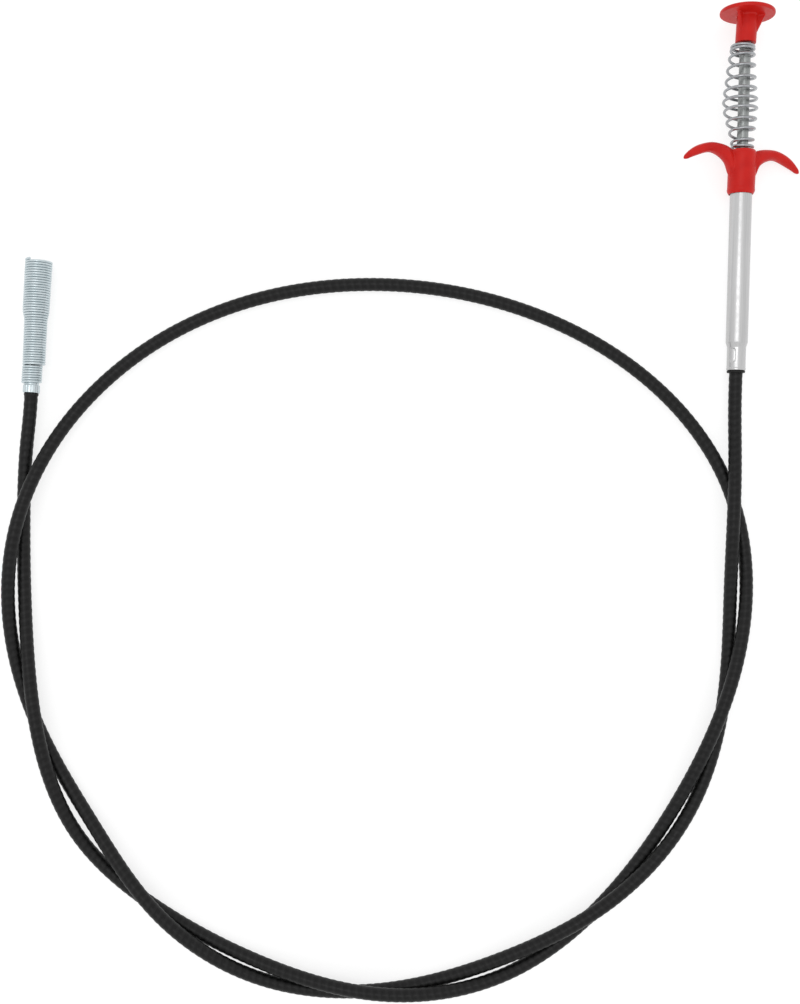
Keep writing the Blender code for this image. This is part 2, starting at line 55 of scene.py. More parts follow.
# Stations along the handle, from the tube's lower end to the button's top
HANDLE_LENGTH = 162.5 * MM
HANDLE_ROLL = math.radians(15)
GRIP_PIVOT = 89.2 * MM
GRIP_TILT = math.radians(1)
BUTTON_PIVOT = 145 * MM
TUBE_NECK_TOP = 12 * MM
TUBE_TOP = 91.5 * MM
GRIP_BOTTOM = 79.6 * MM
GRIP_SOCKET_TOP = 91.9 * MM
GRIP_TOP = 99.4 * MM
STEM_BOTTOM = 147.1 * MM
DISC_BOTTOM = 159.7 * MM
ROD_BOTTOM = 50 * MM
ROD_TOP = 154.5 * MM

TUBE_RADIUS = 4.9 * MM
TUBE_WALL = 0.75 * MM
TUBE_NECK_RADIUS = 4.2 * MM
TUBE_NECK_BORE = 3.65 * MM
DIMPLE_ANGLE = math.radians(-147)
DIMPLE_HEIGHT = 6.7 * MM
DIMPLE_LENGTH = 3.2 * MM
DIMPLE_WIDTH = 1.6 * MM
DIMPLE_DEPTH = 0.5 * MM
DIMPLE_STEEPNESS = 3
TUBE_LIP = 0.12 * MM
TUBE_CORNER = 0.25 * MM

GRIP_RADIUS = 6.2 * MM
GRIP_GUIDE_BORE = 2.95 * MM
GRIP_SOCKET_BORE = 5.25 * MM
GRIP_TOP_RADIUS = 5.6 * MM
GRIP_VOXEL = 0.25 * MM
ROD_RADIUS = 2.5 * MM
THREAD_RADIUS = 2.65 * MM
THREAD_PITCH = 0.8 * MM
THREAD_BOTTOM = 140.5 * MM
DISC_RADIUS = 12.2 * MM
DISC_RIM = 1.6 * MM
DISC_CROWN_RADIUS = 8.3 * MM
STEM_BORE = 2.95 * MM
STEM_RADIUS = 4.6 * MM
RIB_COUNT = 3
RIB_REACH = 7.9 * MM
RIB_HEIGHT = 7.5 * MM
RIB_THICKNESS = 1.4 * MM
RIB_TURN = math.radians(-31)
BUTTON_VOXEL = 0.2 * MM

# Wing sections: reach and height of the upper edge, the same of the lower edge, and half depth
WING_EDGES = (
    (3.0 * MM, -1.5 * MM, 3.0 * MM, -12.0 * MM, 2.6 * MM),
    (6.2 * MM, 0.2 * MM, 5.9 * MM, -12.4 * MM, 3.0 * MM),
    (8.0 * MM, 1.0 * MM, 7.3 * MM, -8.5 * MM, 3.3 * MM),
    (10.2 * MM, 1.5 * MM, 9.3 * MM, -5.6 * MM, 3.4 * MM),
    (13.0 * MM, 1.8 * MM, 12.2 * MM, -3.7 * MM, 3.3 * MM),
    (16.3 * MM, 1.75 * MM, 15.4 * MM, -2.7 * MM, 3.2 * MM),
    (19.8 * MM, 0.9 * MM, 18.2 * MM, -3.0 * MM, 3.0 * MM),
    (23.2 * MM, -0.5 * MM, 21.2 * MM, -4.1 * MM, 2.6 * MM),
    (26.2 * MM, -2.5 * MM, 24.2 * MM, -5.4 * MM, 2.0 * MM),
    (28.3 * MM, -4.5 * MM, 26.5 * MM, -6.5 * MM, 1.5 * MM),
    (29.3 * MM, -5.9 * MM, 28.0 * MM, -7.15 * MM, 1.0 * MM),
    (29.55 * MM, -6.8 * MM, 29.1 * MM, -7.25 * MM, 0.4 * MM),
)
WING_SKEW = 0.028

# Return spring. In millimetres: the height of each pass before the rod, the drop per turn of its
# two end turns, and the barrel's outer diameter and bow by height.
SPRING_WIRE = 0.65 * MM
SPRING_SLANT = 0.08
SPRING_PASSES = np.array(
    (145.4, 144.2, 141.2, 136.2, 130.9, 126.1, 121.6, 117.4, 112.6, 108.3, 103.4, 100.7)
)
SPRING_FIRST_TURN = -0.4
SPRING_PAST_TURNS = 0.38
SPRING_END_DROP = 0.6
SPRING_STEPS = 900
SPRING_BARREL = (
    (98, 10.2, 0.0),
    (101.5, 10.6, 0.1),
    (110.7, 13.4, 0.9),
    (119.2, 15.9, 1.55),
    (127.4, 14.6, 1.6),
    (138.5, 12.6, 1.4),
    (145, 11.1, 1.1),
    (148, 10.6, 1.0),
)

HOSE_DIAMETER = 6.1 * MM
HOSE_RIDGE = 0.13 * MM
HOSE_PITCH = 3.45 * MM
HOSE_FLARE = 0.3 * MM
HOSE_FLARE_PLACE = 3.65 * MM
HOSE_FLARE_REACH = 0.7 * MM
HOSE_REST = 3.08 * MM
HOSE_STEP = 0.45 * MM
HOSE_SIDES = 26

# The drive cable, the steel liner round it, and the bore of the metal that grips the hose
CABLE_RADIUS = 1.0 * MM
CABLE_LAY = 9 * MM
CABLE_STRANDS = 6
LINER_RADIUS = 1.8 * MM
LINER_WIRE = 0.25 * MM
LINER_PITCH = 0.52 * MM
LINER_BORE = 2.1 * MM
HOSE_GRIP = 3.24 * MM

# The head, from its ferrule's lower edge to its mouth
HEAD_LENGTH = 61.1 * MM
SLEEVE_WIRE = 0.56 * MM
SLEEVE_PITCH = 1.13 * MM
SLEEVE_GAP = 0.3 * MM
SLEEVE_BOTTOM = 3.75 * MM
SLEEVE_SMALL_RADIUS = 4.55 * MM
SLEEVE_SMALL_TOP = 11.8 * MM
SLEEVE_NARROW_RADIUS = 5.1 * MM
SLEEVE_NARROW_TOP = 33.5 * MM
SLEEVE_WIDE_RADIUS = 6.12 * MM
SLEEVE_WIDE_BOTTOM = 37.2 * MM
SLEEVE_SAG = 0.5 * MM
SLEEVE_SMALL_SHIFT = -0.6 * MM
SLEEVE_END_ANGLE = math.radians(118)
SLEEVE_STEP_TURNS = 0.4
SLEEVE_TAIL_TURNS = 0.2
SLEEVE_TAIL_RISE = 0.35 * MM
SLEEVE_STEPS_PER_TURN = 56
FERRULE_RADIUS = 3.2 * MM
FERRULE_SKIRT_RADIUS = 3.75 * MM
FERRULE_SKIRT_TOP = 3.5 * MM
FERRULE_TOP = 12.5 * MM
FLUTE_COUNT = 10
FLUTE_DEPTH = 0.25 * MM
CLAW_HINGE = 32.2 * MM
CLAW_WIRE = 0.45 * MM
CLAW_ROOT = -1.0 * MM
CLAW_LEG = 24 * MM
CLAW_FLARE = 1.2 * MM
CLAW_HOOK_RADIUS = 1.3 * MM
CLAW_HOOK_ANGLE = math.radians(100)

# The hose's route along its centreline, as the CAD model has it
HOSE_ROUTE = (
    (-0.0012, -0.0741, 0.0046),
    (-0.0014, -0.0849, 0.0041),
    (-0.0016, -0.0974, 0.0037),
    (-0.0022, -0.1154, 0.0060),
    (-0.0035, -0.1363, 0.0099),
    (-0.0043, -0.1788, 0.0064),
    (-0.0059, -0.2265, 0.0031),
    (-0.0218, -0.2797, 0.0064),
    (-0.0595, -0.3221, 0.0098),
    (-0.1085, -0.3496, 0.0064),
    (-0.1626, -0.3652, 0.0031),
    (-0.2192, -0.3588, 0.0064),
    (-0.2663, -0.3272, 0.0100),
    (-0.2960, -0.2880, 0.0062),
    (-0.3192, -0.2498, 0.0031),
    (-0.3331, -0.2019, 0.0064),
    (-0.3281, -0.1464, 0.0099),
    (-0.3127, -0.1117, 0.0056),
    (-0.2762, -0.0737, 0.0031),
    (-0.2242, -0.0487, 0.0031),
    (-0.1683, -0.0411, 0.0031),
    (-0.1124, -0.0486, 0.0031),
    (-0.0540, -0.0753, 0.0031),
    (-0.0188, -0.1089, 0.0031),
    (-0.0035, -0.1370, 0.0031),
    (0.0028, -0.1778, 0.0064),
    (-0.0057, -0.2258, 0.0098),
    (-0.0277, -0.2766, 0.0064),
    (-0.0598, -0.3227, 0.0031),
    (-0.1059, -0.3562, 0.0064),
    (-0.1624, -0.3648, 0.0098),
    (-0.2171, -0.3523, 0.0064),
    (-0.2665, -0.3279, 0.0031),
    (-0.3028, -0.2928, 0.0066),
    (-0.3193, -0.2491, 0.0100),
    (-0.3261, -0.2019, 0.0064),
    (-0.3284, -0.1471, 0.0031),
    (-0.3265, -0.1144, 0.0046),
    (-0.3245, -0.0994, 0.0061),
    (-0.3238, -0.0883, 0.0062),
)

CAMERA_PLACE = (-0.1554, -0.1411, 0.5337)
CAMERA_ANGLE = math.radians(47.02)
SENSOR = 36.0
FLOOR_HALF = 3.0
FLOOR_GLOW = 0.75
ROOM_GLOW = 1.0
SOFT_BOX_PLACE = (-0.44, -0.05, 1.6)
SOFT_BOX_TARGET = (-0.155, -0.14, 0)
SOFT_BOX_SIZE = (0.4, 0.9)
SOFT_BOX_POWER = 3.2


# ---------------------------------------------------------------- frames of the handle and the head


def axis_frame(origin, axis, roll):
    """A frame whose Z runs along axis and whose X points to the right, turned by roll about Z."""
    across = axis.cross(UP).normalized()
    across = Matrix.Rotation(roll, 3, axis) @ across
    down = axis.cross(across)
    turn = Matrix((across, down, axis)).transposed()
    return Matrix.Translation(origin) @ turn.to_4x4()


joints = {joint["name"]: joint for joint in frame["joints"]}
claw_joints = [joint for name, joint in joints.items() if name.startswith("claw_hinge")]
thumb_face = frame["record"]["mounts"][0]
handle_axis = -Vector(joints["plunger_slide"]["axis"]).normalized()
button_axis = Vector(thumb_face["axis"]).normalized()
button_pivot = Vector(thumb_face["pos_m"]) - button_axis * (HANDLE_LENGTH - BUTTON_PIVOT)
handle_origin = button_pivot - handle_axis * BUTTON_PIVOT
handle = axis_frame(handle_origin, handle_axis, HANDLE_ROLL)
button = axis_frame(button_pivot - button_axis * BUTTON_PIVOT, button_axis, HANDLE_ROLL)
grip_pivot = handle_origin + handle_axis * GRIP_PIVOT
grip_axis = Matrix.Rotation(-GRIP_TILT, 3, "Z") @ handle_axis
grip = axis_frame(grip_pivot - grip_axis * GRIP_PIVOT, grip_axis, HANDLE_ROLL)
head_axis = Vector(joints["claw_slide"]["axis"]).normalized()
hinge_middle = sum((Vector(joint["pos_m"]) for joint in claw_joints), Vector()) / len(claw_joints)
head_origin = hinge_middle - head_axis * CLAW_HINGE
head = axis_frame(head_origin, head_axis, 0)


# ---------------------------------------------------------------- shapes


def spline(knots, values, places):
    """Natural cubic spline through values at knots, read at places. Values may be rows of numbers."""
    knots, values = np.asarray(knots, float), np.asarray(values, float)
    count = len(knots)
    gap = np.diff(knots)
    matrix = np.eye(count)
    right = np.zeros_like(values)
    for i in range(1, count - 1):
        matrix[i, i - 1 : i + 2] = (gap[i - 1], 2 * (gap[i - 1] + gap[i]), gap[i])
        right[i] = 6 * ((values[i + 1] - values[i]) / gap[i] - (values[i] - values[i - 1]) / gap[i - 1])
    bend = np.linalg.solve(matrix, right)
    i = np.clip(np.searchsorted(knots, places, side="right") - 1, 0, count - 2)
    spread = (...,) + (None,) * (values.ndim - 1)
    after = ((knots[i + 1] - places) / gap[i])[spread]
    before = 1 - after
    square = (gap[i] ** 2)[spread] / 6
    straight = after * values[i] + before * values[i + 1]
    return straight + ((after**3 - after) * bend[i] + (before**3 - before) * bend[i + 1]) * square


def chord_lengths(points):
    return np.concatenate([[0], np.cumsum(np.linalg.norm(np.diff(points, axis=0), axis=1))])


def even_path(points, step):
    """The path through the points again, with points at equal steps of about that length."""
    along = chord_lengths(points)
    places = np.linspace(0, along[-1], max(2, round(along[-1] / step) + 1))
    return np.stack([np.interp(places, along, points[:, axis]) for axis in range(3)], axis=1)


def ring_mesh(name, rows, closed=False, start=None, end=None):
    """A mesh over rows of points, where each row closes on itself.

    The rows close too if closed; otherwise each end gets a fan to its point, or a flat face.
    """
    rows = np.asarray(rows, float)
    count, sides = rows.shape[:2]
    i = np.arange(count if closed else count - 1)[:, None]
    j = np.arange(sides)[None, :]
    k = (j + 1) % sides
    low, high = i * sides, ((i + 1) % count) * sides
    quads = np.stack([low + j, low + k, high + k, high + j], -1).reshape(-1, 4).tolist()
    points = rows.reshape(-1, 3).tolist()
    if not closed:
        last = (count - 1) * sides
        for place, base, order in ((start, 0, -1), (end, last, 1)):
            ring = [base + side for side in range(sides)][::order]
            if place is None:
                quads.append(ring)
                continue
            points.append(list(place))
            quads += [[ring[side], ring[(side + 1) % sides], len(points) - 1] for side in range(sides)]
    mesh = bpy.data.meshes.new(name)
    mesh.from_pydata(points, [], quads)
    return mesh


def piece(name, mesh, matrix=None, sharp=40):
    """A smooth-shaded object of the mesh, placed by matrix."""
    mesh.shade_smooth()
    if sharp:
        mesh.set_sharp_from_angle(angle=math.radians(sharp))
    obj = bpy.data.objects.new(name, mesh)
    bpy.context.scene.collection.objects.link(obj)
    if matrix is not None:
        obj.matrix_world = matrix
    return obj


def rounded(outline, closed=False, steps=5):
    """The outline's points, (radius, height, corner radius), with an arc in place of each corner."""
    count = len(outline)
    corners = [np.array(corner[:2], float) for corner in outline]
    points = []
    for i, corner in enumerate(outline):
        place, size = corners[i], corner[2] if len(corner) > 2 else 0
        if not size or (not closed and i in (0, count - 1)):
            points.append(place)
            continue
        back = corners[i - 1] - place
        ahead = corners[(i + 1) % count] - place
        back_length, ahead_length = np.linalg.norm(back), np.linalg.norm(ahead)
        back, ahead = back / back_length, ahead / ahead_length
        half = math.acos(float(np.clip(back @ ahead, -1, 1))) / 2
        cut = min(size / math.tan(half), 0.48 * back_length, 0.48 * ahead_length)
        radius = cut * math.tan(half)
        middle = back + ahead
        centre = place + middle / np.linalg.norm(middle) * radius / math.sin(half)
        first = math.atan2(*(place + back * cut - centre)[::-1])
        last = math.atan2(*(place + ahead * cut - centre)[::-1])
        sweep = (last - first + math.pi) % math.tau - math.pi
        for step in range(steps + 1):
            angle = first + sweep * step / steps
            points.append(centre + radius * np.array((math.cos(angle), math.sin(angle))))
    return np.array(points)


def lathe_mesh(name, profile, steps=96, closed=False, shape=None):
    """A turned mesh about Z. shape(radius, angle, height) may move a point in or out."""
    profile = np.asarray(profile, float)
    start = end = None
    if not closed:
        if profile[0][0] == 0:
            start, profile = (0, 0, profile[0][1]), profile[1:]
        if profile[-1][0] == 0:
            end, profile = (0, 0, profile[-1][1]), profile[:-1]
    angle = np.linspace(0, math.tau, steps, endpoint=False)[None, :]
    radius, height = profile[:, :1], profile[:, 1:2] + 0 * angle
    if shape:
        radius = shape(radius, angle, height)
    rows = np.stack([radius * np.cos(angle), radius * np.sin(angle), height], -1)
    return ring_mesh(name, rows, closed, start, end)


def crosswise(path):
    """Two unit vectors across the path at each of its points, carried along it untwisted."""
    tangent = np.gradient(path, axis=0)
    tangent /= np.linalg.norm(tangent, axis=1, keepdims=True)
    side = np.cross(tangent[0], (0.0, 0.0, 1.0))
    if np.linalg.norm(side) < 0.1:
        side = np.cross(tangent[0], (1.0, 0.0, 0.0))
    across = np.empty_like(path)
    for i, along in enumerate(tangent):
        side = side - along * (side @ along)
        side /= np.linalg.norm(side)
        across[i] = side
    return across, np.cross(tangent, across)


def sweep_rows(path, radius, sides):
    """Rings round the path. radius is a number, or one for each point, or a grid of them."""
    across, over = crosswise(path)
    angle = np.linspace(0, math.tau, sides, endpoint=False)
    ring = np.cos(angle)[None, :, None] * across[:, None] + np.sin(angle)[None, :, None] * over[:, None]
    size = radius if np.ndim(radius) == 2 else np.reshape(radius, (-1, 1))
    return path[:, None] + ring * np.broadcast_to(size, (len(path), sides))[:, :, None]


def joined(name, meshes):
    """One mesh of several."""
    points, faces = [], []
    for mesh in meshes:
        base = len(points)
        points += [vertex.co[:] for vertex in mesh.vertices]
        faces += [[base + corner for corner in face.vertices] for face in mesh.polygons]
        bpy.data.meshes.remove(mesh)
    made = bpy.data.meshes.new(name)
    made.from_pydata(points, [], faces)
    return made


def remeshed(name, solids, cutters, voxel, smoothing):
    """The union of the solids as one moulded skin with soft inner corners, then cut by the cutters."""
    base = piece(f"{name}_blank", solids[0], sharp=0)
    helpers = [base]

    def combine(mesh, operation):
        helper = piece(f"{name}_{operation.lower()}", mesh, sharp=0)
        helpers.append(helper)
        step = base.modifiers.new(operation.lower(), "BOOLEAN")
        step.operation = operation
        step.object = helper
        step.solver = "EXACT"

    for mesh in solids[1:]:
        combine(mesh, "UNION")
    voxels = base.modifiers.new("voxels", "REMESH")
    voxels.mode = "VOXEL"
    voxels.voxel_size = voxel
    soften = base.modifiers.new("soften", "SMOOTH")
    soften.factor = 0.5
    soften.iterations = smoothing
    for mesh in cutters:
        combine(mesh, "DIFFERENCE")
    graph = bpy.context.evaluated_depsgraph_get()
    made = bpy.data.meshes.new_from_object(base.evaluated_get(graph))
    made.name = name
    for helper in helpers:
        bpy.data.objects.remove(helper)
    return made


# ---------------------------------------------------------------- materials


class Surface:
    """A Principled material with the few nodes that its look needs, in object coordinates."""

    def __init__(self, name, colour, roughness, metallic=0.0, **sockets):
        self.material = bpy.data.materials.new(name)
        self.material.use_nodes = True
        self.nodes = self.material.node_tree.nodes
        self.links = self.material.node_tree.links
        self.shader = self.nodes["Principled BSDF"]
        self.shader.inputs["Base Color"].default_value = (*colour, 1)
        self.shader.inputs["Roughness"].default_value = roughness
        self.shader.inputs["Metallic"].default_value = metallic
        for socket, value in sockets.items():
            self.shader.inputs[socket.replace("_", " ")].default_value = value
        self.place = self.nodes.new("ShaderNodeTexCoord").outputs["Object"]
        self.normal = None

    def stretched(self, scale):
        """Object coordinates scaled by three numbers."""
        node = self.nodes.new("ShaderNodeMapping")
        node.inputs["Scale"].default_value = scale
        self.links.new(self.place, node.inputs["Vector"])
        return node.outputs["Vector"]

    def noise(self, scale, detail=3, place=None):
        node = self.nodes.new("ShaderNodeTexNoise")
        node.inputs["Scale"].default_value = scale
        node.inputs["Detail"].default_value = detail
        self.links.new(place or self.place, node.inputs["Vector"])
        return node.outputs["Fac"]

    def ramp(self, value, low, high, stops=(0.35, 0.65)):
        """value turned into a colour between low and high."""
        node = self.nodes.new("ShaderNodeValToRGB")
        for stop, place, colour in zip(node.color_ramp.elements, stops, (low, high)):
            stop.position = place
            stop.color = (*colour, 1)
        self.links.new(value, node.inputs["Fac"])
        return node.outputs["Color"]

    def levels(self, value, low, high, start=0.3, stop=0.7):
        node = self.nodes.new("ShaderNodeMapRange")
        for socket, number in (("From Min", start), ("From Max", stop), ("To Min", low), ("To Max", high)):
            node.inputs[socket].default_value = number
        self.links.new(value, node.inputs["Value"])
        return node.outputs["Result"]

    def drive(self, socket, output):
        self.links.new(output, self.shader.inputs[socket])

    def bump(self, height, strength, distance):
        node = self.nodes.new("ShaderNodeBump")
        node.inputs["Strength"].default_value = strength
        node.inputs["Distance"].default_value = distance
        self.links.new(height, node.inputs["Height"])
        if self.normal:
            self.links.new(self.normal, node.inputs["Normal"])
        self.normal = node.outputs["Normal"]
        self.links.new(self.normal, self.shader.inputs["Normal"])


def red_plastic():
    """Moulded red plastic: half gloss, a faint flow pattern and fine orange peel."""
    made = Surface("red_plastic", (0.5, 0.008, 0.005), 0.38, Specular_IOR_Level=0.2)
    flow = made.noise(160, 4)
    made.drive("Base Color", made.ramp(flow, (0.47, 0.006, 0.004), (0.53, 0.011, 0.007)))
    made.drive("Roughness", made.levels(made.noise(900, 2), 0.32, 0.44))
    made.bump(made.noise(1400, 2), 0.06, 0.0001)
    return made.material


def bright_steel(name, colour, roughness, lines):
    """Drawn or turned steel: lines are the noise scales along X, Y and Z."""
    made = Surface(name, colour, roughness, 1.0)
    streaks = made.noise(1, 3, made.stretched(lines))
    dark = tuple(0.82 * part for part in colour)
    made.drive("Base Color", made.ramp(streaks, dark, colour))
    made.drive("Roughness", made.levels(streaks, roughness - 0.06, roughness + 0.08))
    made.bump(streaks, 0.12, 0.00005)
    return made.material


def satin_aluminium():
    """Drawn tube: fine streaks along it, a soft satin and small handling marks."""
    made = Surface("satin_aluminium", (0.53, 0.53, 0.53), 0.33, 1.0)
    streaks = made.noise(1, 4, made.stretched((2600, 2600, 35)))
    marks = made.noise(420, 5)
    made.drive("Base Color", made.ramp(streaks, (0.49, 0.49, 0.492), (0.56, 0.56, 0.562)))
    made.drive("Roughness", made.levels(marks, 0.3, 0.4))
    made.bump(streaks, 0.16, 0.00005)
    made.bump(marks, 0.05, 0.0001)
    return made.material


def zinc_plate():
    """Bright zinc plate: bluish, with faint cloudy patches and fine drawing lines."""
    made = Surface("zinc_plate", (0.57, 0.635, 0.66), 0.27, 1.0)
    clouds = made.noise(260, 4)
    made.drive("Base Color", made.ramp(clouds, (0.53, 0.605, 0.63), (0.6, 0.665, 0.69)))
    made.drive("Roughness", made.levels(made.noise(1500, 3), 0.3, 0.4))
    made.bump(made.noise(2600, 2), 0.08, 0.00005)
    return made.material


def black_sheath():
    """Black vinyl sheath: half gloss, with painted sheen greying the ridge's crest and painted shade
    darkening its groove.
    """
    made = Surface("black_sheath", (0.005, 0.005, 0.005), 0.42, Specular_IOR_Level=0.22)
    crest = made.nodes.new("ShaderNodeAttribute")
    crest.attribute_name = "crest"
    # Painted sheen on the ridge's crest and painted shade in its groove, read from the crest attribute
    painted_sheen_and_shade = made.ramp(crest.outputs["Fac"], (0.003, 0.003, 0.003), (0.008, 0.008, 0.008), (0.4, 1))
    made.drive("Base Color", painted_sheen_and_shade)
    scuffs = made.noise(300, 5)
    made.drive("Roughness", made.levels(scuffs, 0.36, 0.5))
    made.bump(made.noise(2200, 3), 0.1, 0.0001)
    return made.material


def black_moulding():
    made = Surface("black_moulding", (0.004, 0.004, 0.004), 0.5, Specular_IOR_Level=0.25)
    made.drive("Roughness", made.levels(made.noise(700, 3), 0.45, 0.56))
    made.bump(made.noise(1800, 2), 0.08, 0.0001)
    return made.material


RED = red_plastic()
ROD_STEEL = bright_steel("rod_steel", (0.33, 0.345, 0.34), 0.38, (1800, 1800, 60))
WIRE_STEEL = bright_steel("wire_steel", (0.4, 0.41, 0.425), 0.2, (900, 900, 900))
CRIMP_STEEL = bright_steel("crimp_steel", (0.55, 0.56, 0.57), 0.3, (600, 600, 2400))
ALUMINIUM = satin_aluminium()
ZINC = zinc_plate()
SHEATH = black_sheath()
MOULDING = black_moulding()


def dress(obj, surface, slot, body, *nodes):
    """Gives the piece its material, lets it ride on its body and stand for its CAD nodes."""
    obj.data.materials.clear()
    obj.data.materials.append(surface)
    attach(obj, body)
    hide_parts(*nodes)
    return obj


# ---------------------------------------------------------------- camera, floor and light


def make_camera():
    data = bpy.data.cameras.new("camera")
    data.sensor_width = SENSOR
    data.lens = SENSOR / 2 / math.tan(CAMERA_ANGLE / 2)
    data.clip_start = 0.01
    data.clip_end = 20
    camera = bpy.data.objects.new("camera", data)
    camera.location = CAMERA_PLACE
    bpy.context.scene.collection.objects.link(camera)
    bpy.context.scene.camera = camera


def make_floor():
    """A plain pale floor that glows a little, far larger than the view."""
    half = FLOOR_HALF
    mesh = bpy.data.meshes.new("floor")
    corners = [(-half, -half, 0), (half, -half, 0), (half, half, 0), (-half, half, 0)]
    mesh.from_pydata(corners, [], [(0, 1, 2, 3)])
    floor = bpy.data.objects.new("floor", mesh)
    bpy.context.scene.collection.objects.link(floor)
    made = Surface("pale_floor", (0.3, 0.3, 0.3), 0.8, Specular_IOR_Level=0.1)
    made.shader.inputs["Emission Color"].default_value = (1, 1, 1, 1)
    made.shader.inputs["Emission Strength"].default_value = FLOOR_GLOW
    mesh.materials.append(made.material)


def make_studio():
    """A bright soft room with one soft box over the object."""
    world = bpy.data.worlds.new("studio")
    bpy.context.scene.world = world
    world.use_nodes = True
    background = world.node_tree.nodes["Background"]
    background.inputs["Color"].default_value = (1, 1, 1, 1)
    background.inputs["Strength"].default_value = ROOM_GLOW
    soft_box = bpy.data.lights.new("soft_box", "AREA")
    soft_box.shape = "RECTANGLE"
    soft_box.size, soft_box.size_y = SOFT_BOX_SIZE
    soft_box.energy = SOFT_BOX_POWER
    light = bpy.data.objects.new("soft_box", soft_box)
    light.location = SOFT_BOX_PLACE
    aim = Vector(SOFT_BOX_TARGET) - Vector(SOFT_BOX_PLACE)
    light.rotation_euler = aim.to_track_quat("-Z", "Y").to_euler()
    scene = bpy.context.scene
    scene.collection.objects.link(light)
    scene.view_settings.view_transform = "Standard"
    scene.view_settings.look = "None"


# ---------------------------------------------------------------- hose


def hose_path():
    """Points at even steps along the smooth curve through the route, kept off the floor."""
    route = np.array(HOSE_ROUTE)
    knots = chord_lengths(route)
    fine = spline(knots, route, np.linspace(0, knots[-1], 8000))
    fine[:, 2] = np.maximum(fine[:, 2], HOSE_REST)
    return even_path(fine, HOSE_STEP)


def make_hose():
    """The sheath shows the coiled liner under it as one long helical ridge."""
    path = hose_path()
    along = chord_lengths(path)[:, None]
    angle = np.linspace(0, math.tau, HOSE_SIDES, endpoint=False)[None, :]
    wave = 0.5 + 0.5 * np.cos(math.tau * along / HOSE_PITCH - angle)
    radius = HOSE_DIAMETER / 2 - HOSE_RIDGE * (1 - wave) ** 1.6
    from_flare = np.abs(along[-1] - along - HOSE_FLARE_PLACE)
    radius = radius + HOSE_FLARE * np.clip(1 - from_flare / HOSE_FLARE_REACH, 0, 1) ** 0.5
    mesh = ring_mesh("hose_sheath", sweep_rows(path, radius, HOSE_SIDES))
    # The crest attribute is the ridge's wave; the sheath paints sheen on the crests and shade in the
    # grooves from it
    crest = np.zeros(len(mesh.vertices), dtype=np.float32)
    crest[: wave.size] = wave.ravel()
    mesh.attributes.new("crest", "FLOAT", "POINT").data.foreach_set("value", crest)
    hose = dress(piece("hose_sheath", mesh), SHEATH, "black_sheath", "barrel", "hose")
    return hose, path[::6]


# ---------------------------------------------------------------- handle


def make_tube():
    """Drawn tube with rolled lip, crimped neck and a lanced dimple that bites into the hose's ferrule."""
    bore = TUBE_RADIUS - TUBE_WALL
    corner = TUBE_CORNER
    outline = (
        (TUBE_NECK_BORE, 0, corner),
        (TUBE_NECK_RADIUS + TUBE_LIP, 0, corner),
        (TUBE_NECK_RADIUS + TUBE_LIP, 0.8 * MM, corner),
        (TUBE_NECK_RADIUS, 1.2 * MM, 0.3 * MM),
        (TUBE_NECK_RADIUS, TUBE_NECK_TOP - 1.6 * MM, 2 * MM),
        (TUBE_RADIUS, TUBE_NECK_TOP + 0.7 * MM, 2 * MM),
        (TUBE_RADIUS, TUBE_TOP, corner),
        (bore, TUBE_TOP, corner),
        (bore, TUBE_NECK_TOP + 2.4 * MM, 0.6 * MM),
        (TUBE_NECK_BORE, TUBE_NECK_TOP + 1.4 * MM, 0.6 * MM),
    )
    coarse = rounded(outline, closed=True)
    steps = np.concatenate([coarse, coarse[:1]])
    fine = []
    for low, high in zip(steps, steps[1:]):
        near_neck = min(low[1], high[1]) < TUBE_NECK_TOP + 1 * MM
        count = max(1, round(np.linalg.norm(high - low) / (0.2 * MM if near_neck else 4 * MM)))
        fine += [low + (high - low) * k / count for k in range(count)]

    def dimple(radius, angle, height):
        turn = (angle - DIMPLE_ANGLE + math.pi) % math.tau - math.pi
        across = turn * TUBE_NECK_RADIUS / DIMPLE_WIDTH
        along = (height - DIMPLE_HEIGHT) / DIMPLE_LENGTH
        inside = np.clip(DIMPLE_STEEPNESS * (1 - across**4 - along**4), 0, 1)
        slope = np.clip(0.55 + 0.45 * across, 0, 1)
        return radius - DIMPLE_DEPTH * inside * slope * (radius > TUBE_NECK_BORE + 0.3 * MM)

    mesh = lathe_mesh("tube_drawn", fine, 160, closed=True, shape=dimple)
    dress(piece("tube_drawn", mesh, handle), ALUMINIUM, "aluminium", "barrel", "handle_tube")


def wing_mesh(side):
    """A horn of oval sections from inside the grip's body to a round tip."""
    sections = np.array(WING_EDGES)
    knots = chord_lengths(sections[:, :2] + sections[:, 2:4])
    fine = spline(knots, sections, np.linspace(0, knots[-1], 80))
    angle = np.linspace(0, math.tau, 44, endpoint=False)[None, :]
    upper, lower, depth = fine[:, None, :2], fine[:, None, 2:4], fine[:, 4:]
    edge = (upper + lower) / 2 + (upper - lower) / 2 * np.sin(angle)[:, :, None]
    across = side * edge[:, :, 0]
    rows = (across, side * depth * np.cos(angle), GRIP_TOP + edge[:, :, 1] - across * WING_SKEW)
    return ring_mesh("wing", np.stack(rows, -1))


